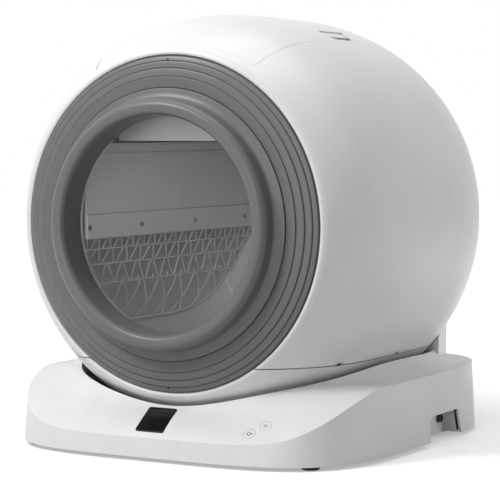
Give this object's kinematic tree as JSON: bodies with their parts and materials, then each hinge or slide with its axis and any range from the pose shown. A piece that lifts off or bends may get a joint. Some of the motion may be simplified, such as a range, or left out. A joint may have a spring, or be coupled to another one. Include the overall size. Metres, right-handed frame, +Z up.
{
  "type": "self cleaning litter box",
  "caption": "Globe-shaped self cleaning litter box on a low base, with a stepped round entry collar, a turning sifting drum inside, a hinged top lid and a lift-out waste bin.",
  "frame": {"origin": "on the floor, under the middle of the base", "axes": "+Z up, the entry faces -Y, +X to the right of someone who faces the entry's back from outside the front"},
  "size_m": [0.5116, 0.5188, 0.5328],
  "materials": {
    "white_shell": "satin white plastic",
    "grey_trim": "satin mid-grey plastic",
    "drum_grey": "matt light-grey plastic",
    "gear_white": "natural plastic",
    "dark_plastic": "matt black plastic",
    "display_black": "gloss black",
    "key_white": "gloss white with a grey symbol",
    "rubber_feet": "matt",
    "roller_tyre": "matt",
    "steel": "bright",
    "board_green": "circuit board"
  },
  "bodies": {
    "base": {"base_housing": "white_shell", "base_bottom_plate": "white_shell", "foot_front_left": "rubber_feet", "foot_front_right": "rubber_feet", "foot_rear_left": "rubber_feet", "foot_rear_right": "rubber_feet", "post_front_left": "white_shell", "post_front_right": "white_shell", "post_rear_left": "white_shell", "post_rear_right": "white_shell", "lower_shell": "white_shell", "upper_cover": "white_shell", "rear_cover": "white_shell", "rear_housing": "white_shell", "collar_ring": "grey_trim", "entry_lip": "grey_trim", "display_window": "display_black", "touch_key_1": "key_white", "touch_key_2": "key_white", "control_board": "board_green", "inlet_plate": "white_shell", "power_inlet": "dark_plastic", "drive_motor": "steel", "motor_cradle": "dark_plastic", "lid_hinge_pin": "steel", "front_left_roller_bracket": "white_shell", "front_left_roller_axle": "steel", "front_right_roller_bracket": "white_shell", "front_right_roller_axle": "steel", "rear_left_roller_bracket": "white_shell", "rear_left_roller_axle": "steel", "rear_right_roller_bracket": "white_shell", "rear_right_roller_axle": "steel"},
    "front_left_roller": {"front_left_roller": "roller_tyre"},
    "front_right_roller": {"front_right_roller": "roller_tyre"},
    "rear_left_roller": {"rear_left_roller": "roller_tyre"},
    "rear_right_roller": {"rear_right_roller": "roller_tyre"},
    "drum": {"drum": "drum_grey", "ring_gear": "gear_white", "divider_panel": "drum_grey", "screen_strip": "drum_grey", "sifting_screen": "drum_grey", "strip_screw_1": "steel", "strip_screw_2": "steel", "strip_screw_3": "steel", "strip_screw_4": "steel"},
    "pinion": {"drive_pinion": "gear_white"},
    "waste_bin": {"waste_bin": "grey_trim", "bin_handle": "dark_plastic"},
    "top_lid": {"top_lid": "white_shell", "latch_pocket": "dark_plastic"},
    "latch": {"latch_paddle": "white_shell"}
  },
  "joints": [
    {"name": "drum_spin", "type": "hinge", "parent": "base", "child": "drum", "pos_m": [0, 0, 0.277], "axis": [0, -1, 0], "continuous": true},
    {"name": "pinion_spin", "type": "hinge", "parent": "base", "child": "pinion", "pos_m": [0, 0.1985, 0.047], "axis": [0, -1, 0], "continuous": true},
    {"name": "front_left_roller_spin", "type": "hinge", "parent": "base", "child": "front_left_roller", "pos_m": [-0.10015, -0.1795, 0.10354], "axis": [0, -1, 0], "continuous": true},
    {"name": "front_right_roller_spin", "type": "hinge", "parent": "base", "child": "front_right_roller", "pos_m": [0.10015, -0.1795, 0.10354], "axis": [0, -1, 0], "continuous": true},
    {"name": "rear_left_roller_spin", "type": "hinge", "parent": "base", "child": "rear_left_roller", "pos_m": [-0.12949, 0.1565, 0.09877], "axis": [0, -1, 0], "continuous": true},
    {"name": "rear_right_roller_spin", "type": "hinge", "parent": "base", "child": "rear_right_roller", "pos_m": [0.12949, 0.1565, 0.09877], "axis": [0, -1, 0], "continuous": true},
    {"name": "lid_hinge", "type": "hinge", "parent": "base", "child": "top_lid", "pos_m": [-0.12894, 0.0155, 0.49618], "axis": [0, -1, 0], "range_deg": [0, 95]},
    {"name": "latch_slide", "type": "slide", "parent": "top_lid", "child": "latch", "axis": [-0.8973, 0, 0.4415], "range_m": [0, 0.004], "stiffness_N_per_m": 250, "springref_m": -0.004},
    {"name": "bin_lift", "type": "slide", "parent": "drum", "child": "waste_bin", "axis": [0, 0, 1], "range_m": [0, 0.022]}
  ],
  "couplings": [
    {"joint": "pinion_spin", "follows": "drum_spin", "ratio": -6.6667},
    {"joint": "front_left_roller_spin", "follows": "drum_spin", "ratio": -19},
    {"joint": "front_right_roller_spin", "follows": "drum_spin", "ratio": -19},
    {"joint": "rear_left_roller_spin", "follows": "drum_spin", "ratio": -21},
    {"joint": "rear_right_roller_spin", "follows": "drum_spin", "ratio": -21}
  ]
}
